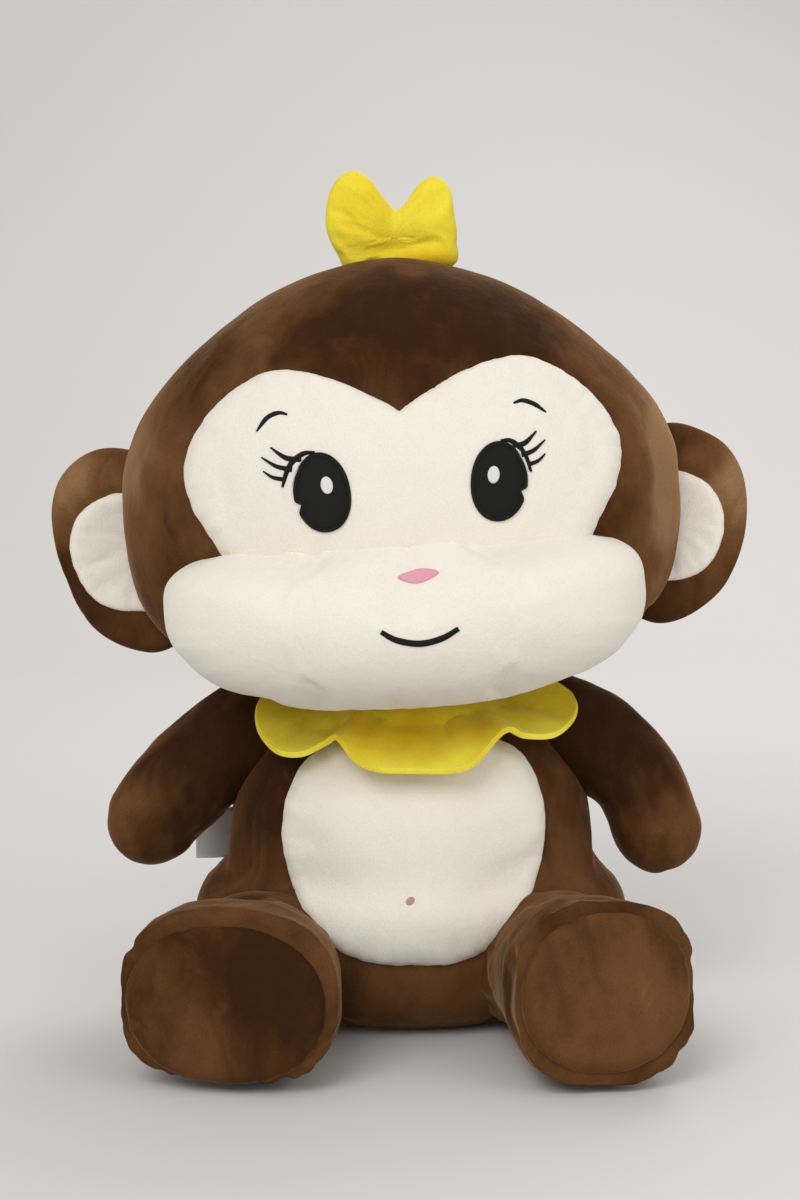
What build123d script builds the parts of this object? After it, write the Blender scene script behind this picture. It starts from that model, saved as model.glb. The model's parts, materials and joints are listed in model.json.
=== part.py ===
"""A seated plush monkey: stuffed torso, big tilted head, muzzle, ears, tuft, collar, arms and legs.

Millimetres and degrees. +Z is up, the toy faces -Y, and +X is the toy's own left.
The origin is the centre of the flat seat under the torso.
Every stuffed part is a cloth shell with its own filling inside.
"""

from build123d import *
import math
import os

os.makedirs("parts", exist_ok=True)

# ---------------------------------------------------------------- cloth, thread and clearances
SKIN = 2.0            # plush cloth with its pile
GAP = 0.3             # between a shell and the filling inside it
THREAD = 1.0          # how far embroidery stands off the cloth
LIFT = 0.1            # air between embroidery and the cloth below it
FLAP_ROOM = 3.0       # between the head and an ear or the tuft, which flap
PLAY = 0.3            # between neighbouring surfaces inside a limb's socket
SOCKET = 1.6          # a socket's radius, less that of the limb's root in it

# ---------------------------------------------------------------- torso
TORSO_DEPTH = 0.78    # depth of the torso as a share of its width
TORSO_OUTLINE = [     # half-width and height, from the flat seat up to the neck opening
    (62, 0), (84, 13), (94, 36), (94, 60), (86, 85), (73, 103), (57, 120), (47, 136), (38, 149),
]
BELLY_PANEL = (3, 92, 61, 53)      # centre X and Z, half-width, half-height
NAVEL = (0, 68, 2.5)               # X, Z, radius
SEAM_STITCHES = 8
SEAM_BOTTOM, SEAM_PITCH = 52.0, 6.0

# ---------------------------------------------------------------- neck
NECK = (0, 0, 152.5)  # centre of the neck, which every head joint passes through
NECK_STUFFING_RADIUS = 24.0
NECK_BAND_INNER = NECK_STUFFING_RADIUS + PLAY
NECK_BAND_OUTER = NECK_BAND_INNER + SKIN
NECK_BAND_HALF_HEIGHT = 11.0
NECK_SOCKET = NECK_BAND_OUTER + PLAY

# ---------------------------------------------------------------- collar
COLLAR_PETALS = 6
COLLAR_INNER, COLLAR_TOP = 48.0, 150.0
COLLAR_OUTER, COLLAR_BOTTOM = 80.0, 129.0
COLLAR_THICKNESS = 2.5
COLLAR_ARM_ROOM = 3.0 # between the collar and an arm that swings

# ---------------------------------------------------------------- head
HEAD_CENTRE = (-4, 0, 257)
HEAD_TILT = 3.5       # the head leans towards the toy's right shoulder
HEAD_SIZE = (133, 92, 102)
FACE_MIDDLE = 4.0     # the face looks a little to the toy's left
FACE_PANEL = [(0, 34), (61, 54), (99, 16), (84, -28), (84, -60)]
MUZZLE_CENTRE = (4, -62, -61)
MUZZLE_SIZE = (111, 57, 36)
EYE_X, EYE_HALF_WIDTH, EYE_HALF_HEIGHT, EYE_LEAN = 39.5, 13.0, 17.5, 6.0
GLINT_X, GLINT_Z, GLINT_HALF_WIDTH, GLINT_HALF_HEIGHT = 2.0, 6.5, 3.0, 4.5
LASHES = 3
LASH_LENGTH, LASH_WIDTH, LASH_START, LASH_STEP = 11.0, 1.6, 35.0, 22.0
BROW_X, BROW_Z, BROW_RADIUS, BROW_WIDTH = 62.0, 27.0, 10.0, 1.8
NOSE = (6.0, -38.5, 9.5, 3.2)
MOUTH_HALF_WIDTH, MOUTH_Z, MOUTH_SAG, MOUTH_WIDTH = 16.5, -61.0, 6.5, 2.8

# ---------------------------------------------------------------- ears and tuft
EAR_CENTRE = (127, 12, -30)
EAR_SIZE = (41, 10, 50)
EAR_LINING_CENTRE, EAR_LINING_SIZE = (132, -35), (27, 28)
TUFT_LOBES = [(-14, 119, 15, 26, 8), (22, 117, 15, 24, -12)]   # X, Z, half-width, half-height, lean
TUFT_FOOT = (4, 106, 27, 14)
TUFT_DEPTH = 11.0
TUFT_Y = 4.0

# ---------------------------------------------------------------- arms and legs
ARM_ROOT, ARM_END = 22.0, 24.0
LEG_ROOT, LEG_END, LEG_RIM = 32.0, 41.0, 12.0
SOLE_RADIUS = 38.0
TACK_ANGLE = 26.0     # half-angle of the stitched patch behind each limb's root
LEG_SCOOP_SLOPE, LEG_SCOOP_LENGTH = 0.38, 60.0
ARMS = {              # shoulder centre, hand centre
    "left": ((71, 2, 138), (117, -8, 92)),
    "right": ((-71, 2, 138), (-121, -8, 97)),
}
LEGS = {              # hip centre, centre of the sole
    "left": ((64, -50, 36), (88, -148, 44)),
    "right": ((-64, -50, 36), (-77, -148, 42)),
}
SIDES = {"left": 1, "right": -1}

# ---------------------------------------------------------------- care label
LABEL_ROOT = (-86.5, 28, 78)
LABEL_LENGTH, LABEL_HEIGHT, LABEL_THICKNESS = 21.0, 25.0, 0.8
LABEL_TURN = 8.0

HEAD = Plane(Location(HEAD_CENTRE, (0, -HEAD_TILT, 0)))
FACE = Plane(origin=HEAD.origin, x_dir=HEAD.x_dir, z_dir=-HEAD.y_dir)
FRONT = Plane(origin=(0, 0, 0), x_dir=(1, 0, 0), z_dir=(0, -1, 0))
REACH = 200.0         # long enough to cut through the whole toy


def ellipsoid(half_axes, plane=Plane.XY, centre=(0, 0, 0), grow=0.0):
    """A closed ellipsoid, its half-axes along those of a plane."""
    with BuildPart() as made:
        Sphere(1)
        scale(by=tuple(half + grow for half in half_axes))
    return plane.location * Pos(*centre) * made.part


def ball(centre, radius):
    """A closed ball."""
    with BuildPart() as made:
        with Locations(centre):
            Sphere(radius)
    return made.part


def prism(outline, plane=FACE, amount=REACH):
    """A sketch's outline, cut straight through along a plane's normal."""
    with BuildPart() as made:
        with BuildSketch(plane):
            add(outline)
        extrude(amount=amount)
    return made.part


def torso_form(inset=0.0):
    """The torso's pear shape between its flat ends, drawn in all round by an inset."""
    bottom, top = TORSO_OUTLINE[0][1], TORSO_OUTLINE[-1][1]
    with BuildPart() as made:
        for half_width, height in TORSO_OUTLINE:
            level = min(max(height, bottom + inset), top - inset)
            with BuildSketch(Plane.XY.offset(level)):
                Ellipse(half_width - inset, TORSO_DEPTH * half_width - inset)
        loft()
    return made.part


def limb_section(root, end):
    """A plane through a limb's middle line: X outwards from it, Y from root to end."""
    along = (Vector(*end) - Vector(*root)).normalized()
    sideways = along.cross(Vector(0, 0, 1)).normalized()
    return Plane(origin=root, x_dir=sideways, z_dir=sideways.cross(along))


def limb_axis(root, end):
    """The axis from a limb's root to its end."""
    return Axis(root, Vector(*end) - Vector(*root))


def distance(root, end):
    """The distance between two points."""
    return (Vector(*end) - Vector(*root)).length


def arm_form(root, end, inset=0.0):
    """An arm: a round root, a gentle widening and a round hand."""
    length = distance(root, end)
    with BuildPart() as made:
        with BuildSketch(limb_section(root, end)):
            with BuildLine():
                CenterArc((0, 0), ARM_ROOT - inset, -90, 90)
                Line((ARM_ROOT - inset, 0), (ARM_END - inset, length))
                CenterArc((0, length), ARM_END - inset, 0, 90)
                Line((0, length + ARM_END - inset), (0, inset - ARM_ROOT))
            make_face()
        revolve(axis=limb_axis(root, end))
    return made.part


def arm_swing_room(root, end, room):
    """The space that an arm sweeps as it swings about a line across the shoulders, with room to spare."""
    along = (Vector(*end) - Vector(*root)).normalized()
    outwards = 1 if root[0] > 0 else -1
    angle = math.degrees(math.acos(abs(along.X)))
    radius = ARM_ROOT + room
    reach = distance(root, end)
    with BuildPart() as made:
        with BuildSketch(Plane(origin=root, x_dir=(outwards, 0, 0), z_dir=(0, 1, 0))):
            with BuildLine():
                inner = CenterArc((0, 0), radius, 90 + angle, 90 - angle)
                slope = PolarLine(inner @ 0, reach, angle)
                Polyline(slope @ 1, ((slope @ 1).X, 0), inner @ 1)
            make_face()
        revolve(axis=Axis(root, (1, 0, 0)))
    return made.part


def leg_form(root, end, inset=0.0):
    """A leg: a round root that widens to a foot with a flat sole."""
    length = distance(root, end) - inset
    radius = LEG_END - inset
    rim = LEG_RIM - inset
    flat = radius - rim
    with BuildPart() as made:
        with BuildSketch(limb_section(root, end)):
            with BuildLine():
                CenterArc((0, 0), LEG_ROOT - inset, -90, 90)
                Line((LEG_ROOT - inset, 0), (radius, length - rim))
                CenterArc((flat, length - rim), rim, 0, 90)
                Line((flat, length), (0, length))
                Line((0, length), (0, inset - LEG_ROOT))
            make_face()
        revolve(axis=limb_axis(root, end))
    return made.part


def leg_scoop(root, end):
    """The room that a leg needs in front of its socket."""
    radius = LEG_ROOT + SOCKET
    with BuildPart() as made:
        with BuildSketch(limb_section(root, end)):
            with BuildLine():
                CenterArc((0, 0), radius, -90, 90)
                Line((radius, 0), (radius + LEG_SCOOP_SLOPE * LEG_SCOOP_LENGTH, LEG_SCOOP_LENGTH))
                Line((radius + LEG_SCOOP_SLOPE * LEG_SCOOP_LENGTH, LEG_SCOOP_LENGTH), (0, LEG_SCOOP_LENGTH))
                Line((0, LEG_SCOOP_LENGTH), (0, -radius))
            make_face()
        revolve(axis=limb_axis(root, end))
    return made.part


def tack_form(centre, inner, axis):
    """A dished patch of stitching behind a limb's root, facing along an axis."""
    outer = inner + THREAD
    tip = Vector(*centre) + Vector(*axis)
    edge = 90 - TACK_ANGLE
    with BuildPart() as made:
        with BuildSketch(limb_section(centre, tip)):
            with BuildLine():
                inside = CenterArc((0, 0), inner, edge, TACK_ANGLE)
                outside = CenterArc((0, 0), outer, edge, TACK_ANGLE)
                Line(inside @ 0, outside @ 0)
                Line(inside @ 1, outside @ 1)
            make_face()
        revolve(axis=limb_axis(centre, tip))
    return made.part


# ================================================================ shared forms
torso_outer = torso_form()
torso_inner = torso_form(SKIN)
torso_fill = torso_form(SKIN + GAP)
head_outer = ellipsoid(HEAD_SIZE, HEAD)
head_inner = ellipsoid(HEAD_SIZE, HEAD, grow=-SKIN)
head_fill = ellipsoid(HEAD_SIZE, HEAD, grow=-SKIN - GAP)
head_clear = ellipsoid(HEAD_SIZE, HEAD, grow=FLAP_ROOM)
head_muzzle_seat = ellipsoid(HEAD_SIZE, HEAD, grow=GAP)
muzzle_outer = ellipsoid(MUZZLE_SIZE, HEAD, MUZZLE_CENTRE)
muzzle_inner = ellipsoid(MUZZLE_SIZE, HEAD, MUZZLE_CENTRE, grow=-SKIN)
neck_socket = ball(NECK, NECK_SOCKET)
shoulder_sockets = [ball(root, ARM_ROOT + SOCKET) for root, hand in ARMS.values()]
leg_scoops = [leg_scoop(hip, sole) for hip, sole in LEGS.values()]
torso_hollows = [neck_socket, *shoulder_sockets, *leg_scoops]

with BuildSketch() as belly_outline:
    with Locations(BELLY_PANEL[:2]):
        Ellipse(*BELLY_PANEL[2:])
belly_cutter = prism(belly_outline.sketch, FRONT)

# ================================================================ torso
with BuildPart() as torso_shell:
    add(torso_outer)
    add(torso_inner, mode=Mode.SUBTRACT)
    add(torso_hollows, mode=Mode.SUBTRACT)
    add(belly_cutter, mode=Mode.SUBTRACT)
torso_shell.part.label = "torso_shell"

with BuildPart() as belly_panel:
    add(torso_outer)
    add(torso_inner, mode=Mode.SUBTRACT)
    add(torso_hollows, mode=Mode.SUBTRACT)
    add(belly_cutter, mode=Mode.INTERSECT)
belly_panel.part.label = "belly_panel"

with BuildPart() as torso_stuffing:
    add(torso_fill)
    add(torso_hollows, mode=Mode.SUBTRACT)
torso_stuffing.part.label = "torso_stuffing"

with BuildSketch() as navel_outline:
    with Locations(NAVEL[:2]):
        Circle(NAVEL[2])

with BuildPart() as navel_stitch:
    add(torso_form(-LIFT - THREAD))
    add(torso_form(-LIFT), mode=Mode.SUBTRACT)
    add(prism(navel_outline.sketch, FRONT), mode=Mode.INTERSECT)
navel_stitch.part.label = "navel_stitch"

with BuildSketch() as seam_outline:
    for stitch in range(SEAM_STITCHES):
        with Locations(Location((0, SEAM_BOTTOM + stitch * SEAM_PITCH), 20)):
            SlotOverall(8, 1.6)

with BuildPart() as closing_seam:
    add(torso_form(-LIFT - THREAD))
    add(torso_form(-LIFT), mode=Mode.SUBTRACT)
    add(prism(seam_outline.sketch, FRONT, -REACH), mode=Mode.INTERSECT)
closing_seam.part.label = "closing_seam"

# ================================================================ collar
with BuildSketch() as petal_outline:
    Circle(COLLAR_OUTER - 12)
    with PolarLocations(COLLAR_OUTER - 30, COLLAR_PETALS, start_angle=-90):
        Ellipse(30, 36)

with BuildPart() as collar:
    with BuildSketch(Plane.XZ):
        with BuildLine():
            Polyline(
                (COLLAR_INNER, COLLAR_TOP),
                (COLLAR_OUTER + 5, COLLAR_BOTTOM - 3),
                (COLLAR_OUTER + 5, COLLAR_BOTTOM - 3 + COLLAR_THICKNESS),
                (COLLAR_INNER, COLLAR_TOP + COLLAR_THICKNESS),
                close=True,
            )
        make_face()
    revolve(axis=Axis.Z)
    add(prism(petal_outline.sketch, Plane.XY), mode=Mode.INTERSECT)
    for shoulder, hand in ARMS.values():
        add(arm_swing_room(shoulder, hand, COLLAR_ARM_ROOM), mode=Mode.SUBTRACT)
collar.part.label = "collar"

# ================================================================ neck
with BuildPart() as neck_stuffing:
    with Locations(NECK):
        Sphere(NECK_STUFFING_RADIUS)
neck_stuffing.part.label = "neck_stuffing"

with BuildPart() as neck_band:
    with Locations(NECK):
        Sphere(NECK_BAND_OUTER)
        Sphere(NECK_BAND_INNER, mode=Mode.SUBTRACT)
        Box(REACH, REACH, 2 * NECK_BAND_HALF_HEIGHT, mode=Mode.INTERSECT)
neck_band.part.label = "neck_band"

# ================================================================ head
with BuildSketch() as heart_outline:
    with BuildLine():
        right_side = [(FACE_MIDDLE - x, z) for x, z in FACE_PANEL]
        left_side = [(FACE_MIDDLE + x, z) for x, z in FACE_PANEL]
        Spline(left_side, tangents=[(1, 1), (0, -1)])
        Spline(right_side, tangents=[(-1, 1), (0, -1)])
        Line(left_side[-1], right_side[-1])
    make_face()
heart_cutter = prism(heart_outline.sketch)

with BuildPart() as head_shell:
    add(head_outer)
    add(head_inner, mode=Mode.SUBTRACT)
    add([neck_socket, heart_cutter], mode=Mode.SUBTRACT)
head_shell.part.label = "head_shell"

with BuildPart() as face_panel:
    add(head_outer)
    add(head_inner, mode=Mode.SUBTRACT)
    add(heart_cutter, mode=Mode.INTERSECT)
face_panel.part.label = "face_panel"

with BuildPart() as head_stuffing:
    add(head_fill)
    add(neck_socket, mode=Mode.SUBTRACT)
head_stuffing.part.label = "head_stuffing"

with BuildPart() as muzzle_shell:
    add(muzzle_outer)
    add(muzzle_inner, mode=Mode.SUBTRACT)
    add(head_muzzle_seat, mode=Mode.SUBTRACT)
muzzle_shell.part.label = "muzzle_shell"

with BuildPart() as muzzle_stuffing:
    add(ellipsoid(MUZZLE_SIZE, HEAD, MUZZLE_CENTRE, grow=-SKIN - GAP))
    add(head_muzzle_seat, mode=Mode.SUBTRACT)
muzzle_stuffing.part.label = "muzzle_stuffing"

# ================================================================ embroidery
face_thread_outer = ellipsoid(HEAD_SIZE, HEAD, grow=LIFT + THREAD)
face_thread_inner = ellipsoid(HEAD_SIZE, HEAD, grow=LIFT)
muzzle_thread_outer = ellipsoid(MUZZLE_SIZE, HEAD, MUZZLE_CENTRE, grow=LIFT + THREAD)
muzzle_thread_inner = ellipsoid(MUZZLE_SIZE, HEAD, MUZZLE_CENTRE, grow=LIFT)


def face_thread(outline):
    """A flat shape embroidered on the face panel."""
    with BuildPart() as made:
        add(face_thread_outer)
        add(face_thread_inner, mode=Mode.SUBTRACT)
        add(prism(outline), mode=Mode.INTERSECT)
    return made.part


def muzzle_thread(outline):
    """A flat shape embroidered on the muzzle."""
    with BuildPart() as made:
        add(muzzle_thread_outer)
        add(muzzle_thread_inner, mode=Mode.SUBTRACT)
        add(prism(outline, FACE.offset(-MUZZLE_CENTRE[1])), mode=Mode.INTERSECT)
    return made.part


for side, sign in SIDES.items():
    eye_middle = (FACE_MIDDLE + sign * EYE_X, 0)
    glint_middle = (eye_middle[0] - GLINT_X, GLINT_Z)

    with BuildSketch() as eye_outline:
        with Locations(Location(eye_middle, sign * EYE_LEAN)):
            Ellipse(EYE_HALF_WIDTH, EYE_HALF_HEIGHT)
        with Locations(glint_middle):
            Ellipse(GLINT_HALF_WIDTH, GLINT_HALF_HEIGHT, mode=Mode.SUBTRACT)
    with BuildPart() as eye:
        add(face_thread(eye_outline.sketch))
    eye.part.label = f"{side}_eye"
    export_step(eye.part, f"parts/{side}_eye.step")

    with BuildSketch() as glint_outline:
        with Locations(glint_middle):
            Ellipse(GLINT_HALF_WIDTH, GLINT_HALF_HEIGHT)
    with BuildPart() as glint:
        add(face_thread(glint_outline.sketch))
    glint.part.label = f"{side}_eye_glint"
    export_step(glint.part, f"parts/{side}_eye_glint.step")

    with BuildSketch() as lash_outline:
        for lash in range(LASHES):
            angle = LASH_START + lash * LASH_STEP if sign > 0 else 180 - LASH_START - lash * LASH_STEP
            direction = Vector(1, 0, 0).rotate(Axis.Z, angle)
            root = Vector(*eye_middle, 0) + Vector(
                direction.X * (EYE_HALF_WIDTH + 3.5), direction.Y * (EYE_HALF_HEIGHT + 1.5), 0
            )
            with Locations(Location(tuple(root + direction * LASH_LENGTH / 2), angle)):
                SlotOverall(LASH_LENGTH, LASH_WIDTH)
    with BuildPart() as lashes:
        add(face_thread(lash_outline.sketch))
    lashes.part.label = f"{side}_eyelashes"
    export_step(lashes.part, f"parts/{side}_eyelashes.step")

    with BuildSketch() as brow_outline:
        with BuildLine():
            CenterArc((FACE_MIDDLE + sign * BROW_X, BROW_Z), BROW_RADIUS, 90 - sign * 75, sign * 75)
        trace(line_width=BROW_WIDTH)
    with BuildPart() as brow:
        add(face_thread(brow_outline.sketch))
    brow.part.label = f"{side}_eyebrow"
    export_step(brow.part, f"parts/{side}_eyebrow.step")

with BuildSketch() as nose_outline:
    with Locations(Location((*NOSE[:2], 0), 5)):
        Ellipse(*NOSE[2:])
with BuildPart() as nose_embroidery:
    add(muzzle_thread(nose_outline.sketch))
nose_embroidery.part.label = "nose_embroidery"

with BuildSketch() as mouth_outline:
    with BuildLine():
        ThreePointArc(
            (FACE_MIDDLE + 2 - MOUTH_HALF_WIDTH, MOUTH_Z),
            (FACE_MIDDLE + 2, MOUTH_Z - MOUTH_SAG),
            (FACE_MIDDLE + 2 + MOUTH_HALF_WIDTH, MOUTH_Z),
        )
    trace(line_width=MOUTH_WIDTH)
with BuildPart() as mouth_embroidery:
    add(muzzle_thread(mouth_outline.sketch))
mouth_embroidery.part.label = "mouth_embroidery"

# ================================================================ ears
for side, sign in SIDES.items():
    ear_centre = (sign * EAR_CENTRE[0], EAR_CENTRE[1], EAR_CENTRE[2])
    ear_outer = ellipsoid(EAR_SIZE, HEAD, ear_centre)
    ear_inner = ellipsoid(EAR_SIZE, HEAD, ear_centre, grow=-SKIN)
    ear_fill = ellipsoid(EAR_SIZE, HEAD, ear_centre, grow=-SKIN - GAP)
    with BuildSketch() as lining_outline:
        with Locations((sign * EAR_LINING_CENTRE[0], EAR_LINING_CENTRE[1])):
            Ellipse(*EAR_LINING_SIZE)
    lining_cutter = prism(lining_outline.sketch, FACE.offset(-EAR_CENTRE[1]))

    with BuildPart() as ear_shell:
        add(ear_outer)
        add([ear_inner, lining_cutter, head_clear], mode=Mode.SUBTRACT)
    ear_shell.part.label = f"{side}_ear_shell"
    export_step(ear_shell.part, f"parts/{side}_ear_shell.step")

    with BuildPart() as ear_lining:
        add(ear_outer)
        add([ear_inner, head_clear], mode=Mode.SUBTRACT)
        add(lining_cutter, mode=Mode.INTERSECT)
    ear_lining.part.label = f"{side}_ear_lining"
    export_step(ear_lining.part, f"parts/{side}_ear_lining.step")

    with BuildPart() as ear_stuffing:
        add(ear_fill)
        add(head_clear, mode=Mode.SUBTRACT)
    ear_stuffing.part.label = f"{side}_ear_stuffing"
    export_step(ear_stuffing.part, f"parts/{side}_ear_stuffing.step")


# ================================================================ tuft
def tuft_form(inset=0.0):
    """Two leaning lobes on one foot, as solids that overlap."""
    pieces = []
    for x, z, half_width, half_height, lean in TUFT_LOBES:
        lobe = ellipsoid((half_width, TUFT_DEPTH, half_height), grow=-inset)
        pieces.append(HEAD.location * Location((x, TUFT_Y, z), (0, -lean, 0)) * lobe)
    x, z, half_width, half_height = TUFT_FOOT
    pieces.append(ellipsoid((half_width, TUFT_DEPTH, half_height), HEAD, (x, TUFT_Y, z), grow=-inset))
    with BuildPart() as made:
        add(pieces)
        add(head_clear, mode=Mode.SUBTRACT)
    return made.part


tuft_hollow = tuft_form(SKIN)
with BuildPart() as tuft_shell:
    add(tuft_form())
    add(tuft_hollow, mode=Mode.SUBTRACT)
tuft_shell.part.label = "tuft_shell"

with BuildPart() as tuft_stuffing:
    add(tuft_form(SKIN + GAP))
tuft_stuffing.part.label = "tuft_stuffing"

# ================================================================ arms
for side, (shoulder, hand) in ARMS.items():
    with BuildPart() as arm_shell:
        add(arm_form(shoulder, hand))
        add(arm_form(shoulder, hand, SKIN), mode=Mode.SUBTRACT)
    arm_shell.part.label = f"{side}_arm_shell"
    export_step(arm_shell.part, f"parts/{side}_arm_shell.step")

    with BuildPart() as arm_stuffing:
        add(arm_form(shoulder, hand, SKIN + GAP))
    arm_stuffing.part.label = f"{side}_arm_stuffing"
    export_step(arm_stuffing.part, f"parts/{side}_arm_stuffing.step")

    with BuildPart() as shoulder_stitching:
        add(tack_form(shoulder, ARM_ROOT + PLAY, (-SIDES[side], 0, 0)))
    shoulder_stitching.part.label = f"{side}_shoulder_stitching"
    export_step(shoulder_stitching.part, f"parts/{side}_shoulder_stitching.step")

# ================================================================ legs
for side, (hip, sole) in LEGS.items():
    along = (Vector(*sole) - Vector(*hip)).normalized()
    leg_outer = leg_form(hip, sole)
    leg_inner = leg_form(hip, sole, SKIN)
    with BuildPart() as sole_cutter:
        with BuildSketch(Plane(origin=Vector(*sole) - along * LEG_RIM, z_dir=along)):
            Circle(SOLE_RADIUS)
        extrude(amount=REACH)

    with BuildPart() as leg_shell:
        add(leg_outer)
        add(leg_inner, mode=Mode.SUBTRACT)
        add(sole_cutter.part, mode=Mode.SUBTRACT)
    leg_shell.part.label = f"{side}_leg_shell"
    export_step(leg_shell.part, f"parts/{side}_leg_shell.step")

    with BuildPart() as sole_panel:
        add(leg_outer)
        add(leg_inner, mode=Mode.SUBTRACT)
        add(sole_cutter.part, mode=Mode.INTERSECT)
    sole_panel.part.label = f"{side}_sole_panel"
    export_step(sole_panel.part, f"parts/{side}_sole_panel.step")

    with BuildPart() as leg_stuffing:
        add(leg_form(hip, sole, SKIN + GAP))
    leg_stuffing.part.label = f"{side}_leg_stuffing"
    export_step(leg_stuffing.part, f"parts/{side}_leg_stuffing.step")

    with BuildPart() as hip_stitching:
        add(tack_form(hip, LEG_ROOT + PLAY, (0, 1, 0)))
    hip_stitching.part.label = f"{side}_hip_stitching"
    export_step(hip_stitching.part, f"parts/{side}_hip_stitching.step")

# ================================================================ care label
with BuildPart() as care_label:
    with Locations(Location(LABEL_ROOT, (0, 0, 180 - LABEL_TURN))):
        Box(LABEL_LENGTH, LABEL_THICKNESS, LABEL_HEIGHT, align=(Align.MIN, Align.CENTER, Align.CENTER))
care_label.part.label = "care_label"

# ================================================================ one STEP for each remaining sub-part
for piece in (
    torso_shell, belly_panel, torso_stuffing, navel_stitch, closing_seam, collar, neck_stuffing, neck_band,
    head_shell, face_panel, head_stuffing, muzzle_shell, muzzle_stuffing, nose_embroidery, mouth_embroidery,
    tuft_shell, tuft_stuffing, care_label,
):
    export_step(piece.part, f"parts/{piece.part.label}.step")
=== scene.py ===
"""The looks of a seated plush monkey, built round its CAD frame.

Shapes are worked out in millimetres and turned into metres when a mesh is made.
Head features are given in the head's own tilted frame: X to the toy's left, Y to the back, Z up.
"""

import json
import math

import bpy
import numpy as np
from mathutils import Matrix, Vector, noise
from mathutils.bvhtree import BVHTree


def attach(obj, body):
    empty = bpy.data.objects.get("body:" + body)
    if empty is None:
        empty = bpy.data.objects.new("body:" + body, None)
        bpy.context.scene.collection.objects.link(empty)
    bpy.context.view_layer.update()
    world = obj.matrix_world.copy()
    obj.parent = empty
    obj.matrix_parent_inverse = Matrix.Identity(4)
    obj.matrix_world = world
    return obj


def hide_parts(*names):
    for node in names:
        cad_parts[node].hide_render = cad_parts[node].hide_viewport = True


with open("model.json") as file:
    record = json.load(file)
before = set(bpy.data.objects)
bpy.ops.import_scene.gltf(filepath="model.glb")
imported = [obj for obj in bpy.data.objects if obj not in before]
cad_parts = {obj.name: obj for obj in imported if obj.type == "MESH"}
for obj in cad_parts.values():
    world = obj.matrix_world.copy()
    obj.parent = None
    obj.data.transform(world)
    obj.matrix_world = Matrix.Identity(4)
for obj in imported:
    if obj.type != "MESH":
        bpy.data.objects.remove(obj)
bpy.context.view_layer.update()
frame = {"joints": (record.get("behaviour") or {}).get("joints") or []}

MM = 0.001
SIDES = {"left": 1, "right": -1}
HEAD_CENTRE = np.array([-4.0, 0.0, 257.0])
HEAD_TILT = math.radians(3.5)
PRESSURE = 4.0
SIM_FRAMES = 20
HINGES = {joint["name"]: np.array(joint["pos_m"]) / MM for joint in frame["joints"]}


# ---- shapes in millimetres
def head_to_world(points):
    """Points of the head's own frame, in the toy's frame."""
    x, y, z = np.asarray(points, float).T
    c, s = math.cos(HEAD_TILT), math.sin(HEAD_TILT)
    return np.stack([x * c - z * s, y, x * s + z * c], axis=1) + HEAD_CENTRE


def smooth_loop(points, samples, closed=True):
    """A smooth curve through points, as evenly spaced samples."""
    p = np.asarray(points, float)
    count = len(p)
    dense = []
    spans = count if closed else count - 1
    for i in range(spans):
        if closed:
            a, b, c, d = (p[(i + k) % count] for k in (-1, 0, 1, 2))
        else:
            a, b, c, d = (p[min(max(i + k, 0), count - 1)] for k in (-1, 0, 1, 2))
        for t in np.linspace(0, 1, 24, endpoint=False):
            dense.append(0.5 * (2 * b + (c - a) * t + (2 * a - 5 * b + 4 * c - d) * t**2
                                + (3 * b - a - 3 * c + d) * t**3))
    dense.append(p[0] if closed else p[-1])
    dense = np.array(dense)
    run = np.concatenate([[0], np.cumsum(np.linalg.norm(np.diff(dense, axis=0), axis=1))])
    wanted = np.linspace(0, run[-1], samples, endpoint=not closed)
    return np.stack([np.interp(wanted, run, dense[:, k]) for k in range(dense.shape[1])], axis=1)


def oval(centre, half_width, half_height, samples=96, lean=0.0, power=2.0):
    """An oval outline, leaning anticlockwise, fuller at its corners with a higher power."""
    a = np.linspace(0, 2 * math.pi, samples, endpoint=False)
    x = half_width * np.sign(np.cos(a)) * np.abs(np.cos(a)) ** (2 / power)
    z = half_height * np.sign(np.sin(a)) * np.abs(np.sin(a)) ** (2 / power)
    c, s = math.cos(math.radians(lean)), math.sin(math.radians(lean))
    return np.stack([centre[0] + x * c - z * s, centre[1] + x * s + z * c], axis=1)


def ball_grid(steps):
    """Unit vectors and quads of a cube blown up to a ball, evenly spread."""
    index, vectors, quads = {}, [], []

    def corner(key):
        if key not in index:
            index[key] = len(vectors)
            vectors.append([math.tan((k / steps * 2 - 1) * math.pi / 4) for k in key])
        return index[key]

    for axis in range(3):
        u, v = (axis + 1) % 3, (axis + 2) % 3
        for level in (0, steps):
            for i in range(steps):
                for j in range(steps):
                    quad = []
                    for di, dj in ((0, 0), (1, 0), (1, 1), (0, 1)):
                        key = [0, 0, 0]
                        key[axis], key[u], key[v] = level, i + di, j + dj
                        quad.append(corner(tuple(key)))
                    quads.append(quad if level else quad[::-1])
    vectors = np.array(vectors)
    return vectors / np.linalg.norm(vectors, axis=1)[:, None], np.array(quads)


def normals_of(points, quads):
    """Each point's outward unit normal."""
    corners = points[quads]
    face = np.cross(corners[:, 2] - corners[:, 0], corners[:, 3] - corners[:, 1])
    normals = np.zeros_like(points)
    for k in range(4):
        np.add.at(normals, quads[:, k], face)
    return normals / np.maximum(np.linalg.norm(normals, axis=1), 1e-9)[:, None]


def push(points, quads, amounts):
    """Points moved along their normals."""
    return points + normals_of(points, quads) * np.asarray(amounts)[:, None]


def lumps(points, size, seed=0.0):
    """Smooth noise from about -1 to 1, with lumps of a size."""
    return np.array([noise.noise(Vector(p) / size + Vector((seed, 2.7 * seed, -seed))) for p in points])


def dent(distance, width):
    """1 at a seam, falling to 0 beside it."""
    return np.exp(-((distance / width) ** 2))


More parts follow.
